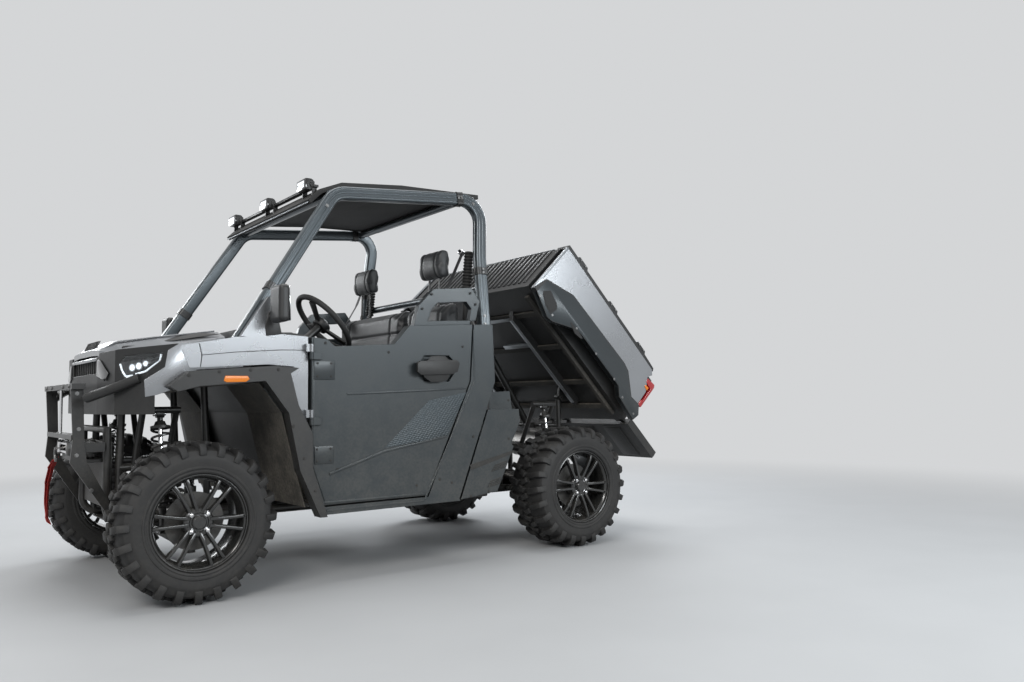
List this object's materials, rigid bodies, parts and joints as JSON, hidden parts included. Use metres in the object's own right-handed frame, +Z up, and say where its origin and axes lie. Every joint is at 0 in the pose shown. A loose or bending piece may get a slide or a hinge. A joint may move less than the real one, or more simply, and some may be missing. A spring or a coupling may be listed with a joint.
{
  "type": "side by side utility vehicle",
  "caption": "Side by side utility vehicle with a roll cage, bench seats, hinged doors, knobbly tyres and a tipping cargo bed shown raised.",
  "frame": {"origin": "centre of the bounding box at ground level, on the vehicle's middle line", "axes": "+X to the front of the vehicle, +Y to its left, +Z up"},
  "size_m": [3.1833, 1.8, 1.9103],
  "materials": {
    "frame_black": "satin black powder coat",
    "cage_grey": "dark metallic grey paint",
    "body_silver": "silver paint",
    "body_slate": "satin slate grey",
    "trim_black": "black moulded plastic",
    "tyre": "black rubber, dusty",
    "alloy_black": "satin black alloy",
    "bare_steel": "bare steel",
    "cast_metal": "cast aluminium",
    "seat_cover": "black grained cover",
    "lamp_clear": "clear lamp lens",
    "lamp_red": "red lens",
    "spring_black": "black spring and damper"
  },
  "bodies": {
    "chassis": {"chassis_frame": "frame_black", "skid_plate": "frame_black", "radiator": "cast_metal", "engine_and_drives": "cast_metal", "muffler": "bare_steel", "wishbones": "frame_black", "shock_absorbers": "spring_black", "half_shafts": "bare_steel", "rear_uprights": "cast_metal", "steering_gear": "frame_black", "roll_cage": "cage_grey", "roof": "trim_black", "roof_lamps": "trim_black", "cab_tub": "trim_black", "dashboard": "trim_black", "seat_base": "trim_black", "seat_cushions": "seat_cover", "seat_backs": "seat_cover", "front_fascia": "trim_black", "headlamps": "lamp_clear", "grille": "trim_black", "fenders": "body_silver", "flares": "trim_black", "arch_liners": "trim_black", "side_panels": "body_slate", "mirrors": "trim_black", "bumper": "frame_black", "winch": "frame_black"},
    "steering_wheel": {"steering_wheel": "trim_black"},
    "steering_rack": {"tie_rods": "bare_steel"},
    "knuckle_left": {"knuckle_left": "cast_metal"},
    "knuckle_right": {"knuckle_right": "cast_metal"},
    "wheel_front_left": {"front_rim_left": "alloy_black", "front_tyre_left": "tyre"},
    "wheel_front_right": {"front_rim_right": "alloy_black", "front_tyre_right": "tyre"},
    "wheel_rear_left": {"rear_rim_left": "alloy_black", "rear_tyre_left": "tyre"},
    "wheel_rear_right": {"rear_rim_right": "alloy_black", "rear_tyre_right": "tyre"},
    "door_left": {"door_left": "body_slate", "door_trim_left": "trim_black"},
    "door_right": {"door_right": "body_slate", "door_trim_right": "trim_black"},
    "hood": {"hood": "body_silver"},
    "bed": {"bed_tub": "trim_black", "bed_sides": "body_silver", "bed_trims": "trim_black", "tail_lamps": "lamp_red"},
    "tailgate": {"tailgate": "trim_black"},
    "lift_barrel": {"lift_barrel": "frame_black"},
    "lift_rod": {"lift_rod": "bare_steel"}
  },
  "joints": [
    {"name": "steer_left", "type": "hinge", "parent": "chassis", "child": "knuckle_left", "pos_m": [1.1925, 0.64, 0.325], "axis": [0, 0, 1], "range_deg": [-30, 30]},
    {"name": "steer_right", "type": "hinge", "parent": "chassis", "child": "knuckle_right", "pos_m": [1.1925, -0.64, 0.325], "axis": [0, 0, 1], "range_deg": [-30, 30]},
    {"name": "steering_wheel_turn", "type": "hinge", "parent": "chassis", "child": "steering_wheel", "pos_m": [0.4875, 0.395, 1.19], "axis": [-0.7431, 0, 0.6691], "range_deg": [-270, 270]},
    {"name": "rack_slide", "type": "slide", "parent": "chassis", "child": "steering_rack", "axis": [0, 1, 0], "range_m": [-0.0505, 0.0505]},
    {"name": "wheel_front_left_spin", "type": "hinge", "parent": "knuckle_left", "child": "wheel_front_left", "pos_m": [1.1925, 0.6825, 0.325], "axis": [0, 1, 0], "continuous": true},
    {"name": "wheel_front_right_spin", "type": "hinge", "parent": "knuckle_right", "child": "wheel_front_right", "pos_m": [1.1925, -0.6825, 0.325], "axis": [0, 1, 0], "continuous": true},
    {"name": "wheel_rear_left_spin", "type": "hinge", "parent": "chassis", "child": "wheel_rear_left", "pos_m": [-0.8575, 0.6575, 0.325], "axis": [0, 1, 0], "continuous": true},
    {"name": "wheel_rear_right_spin", "type": "hinge", "parent": "chassis", "child": "wheel_rear_right", "pos_m": [-0.8575, -0.6575, 0.325], "axis": [0, 1, 0], "continuous": true},
    {"name": "door_left_hinge", "type": "hinge", "parent": "chassis", "child": "door_left", "pos_m": [0.7145, 0.766, 0.7], "axis": [0, 0, -1], "range_deg": [0, 65]},
    {"name": "door_right_hinge", "type": "hinge", "parent": "chassis", "child": "door_right", "pos_m": [0.7145, -0.766, 0.7], "axis": [0, 0, 1], "range_deg": [0, 65]},
    {"name": "hood_hinge", "type": "hinge", "parent": "chassis", "child": "hood", "pos_m": [1.0195, 0, 1.106], "axis": [0, -1, 0], "range_deg": [0, 60]},
    {"name": "bed_tilt", "type": "hinge", "parent": "chassis", "child": "bed", "pos_m": [-1.1442, 0, 0.8159], "axis": [0, 1, 0], "range_deg": [0, 46]},
    {"name": "tailgate_hinge", "type": "hinge", "parent": "bed", "child": "tailgate", "pos_m": [-1.36334, 0, 0.67261], "axis": [0, 1, 0], "range_deg": [0, 90]},
    {"name": "lift_barrel_swing", "type": "hinge", "parent": "chassis", "child": "lift_barrel", "pos_m": [-1.0975, 0, 0.64], "axis": [0, 1, 0], "range_deg": [0, 42.5]},
    {"name": "lift_rod_slide", "type": "slide", "parent": "lift_barrel", "child": "lift_rod", "axis": [0.5471, 0, 0.8371], "range_m": [-0.135, 0]}
  ],
  "couplings": [
    {"joint": "steer_right", "follows": "steer_left", "ratio": 1},
    {"joint": "steering_wheel_turn", "follows": "steer_left", "ratio": 9},
    {"joint": "rack_slide", "follows": "steer_left", "m_per_rad": -0.0955},
    {"joint": "lift_barrel_swing", "follows": "bed_tilt", "ratio": 0.91468},
    {"joint": "lift_rod_slide", "follows": "bed_tilt", "m_per_rad": -0.16556}
  ]
}
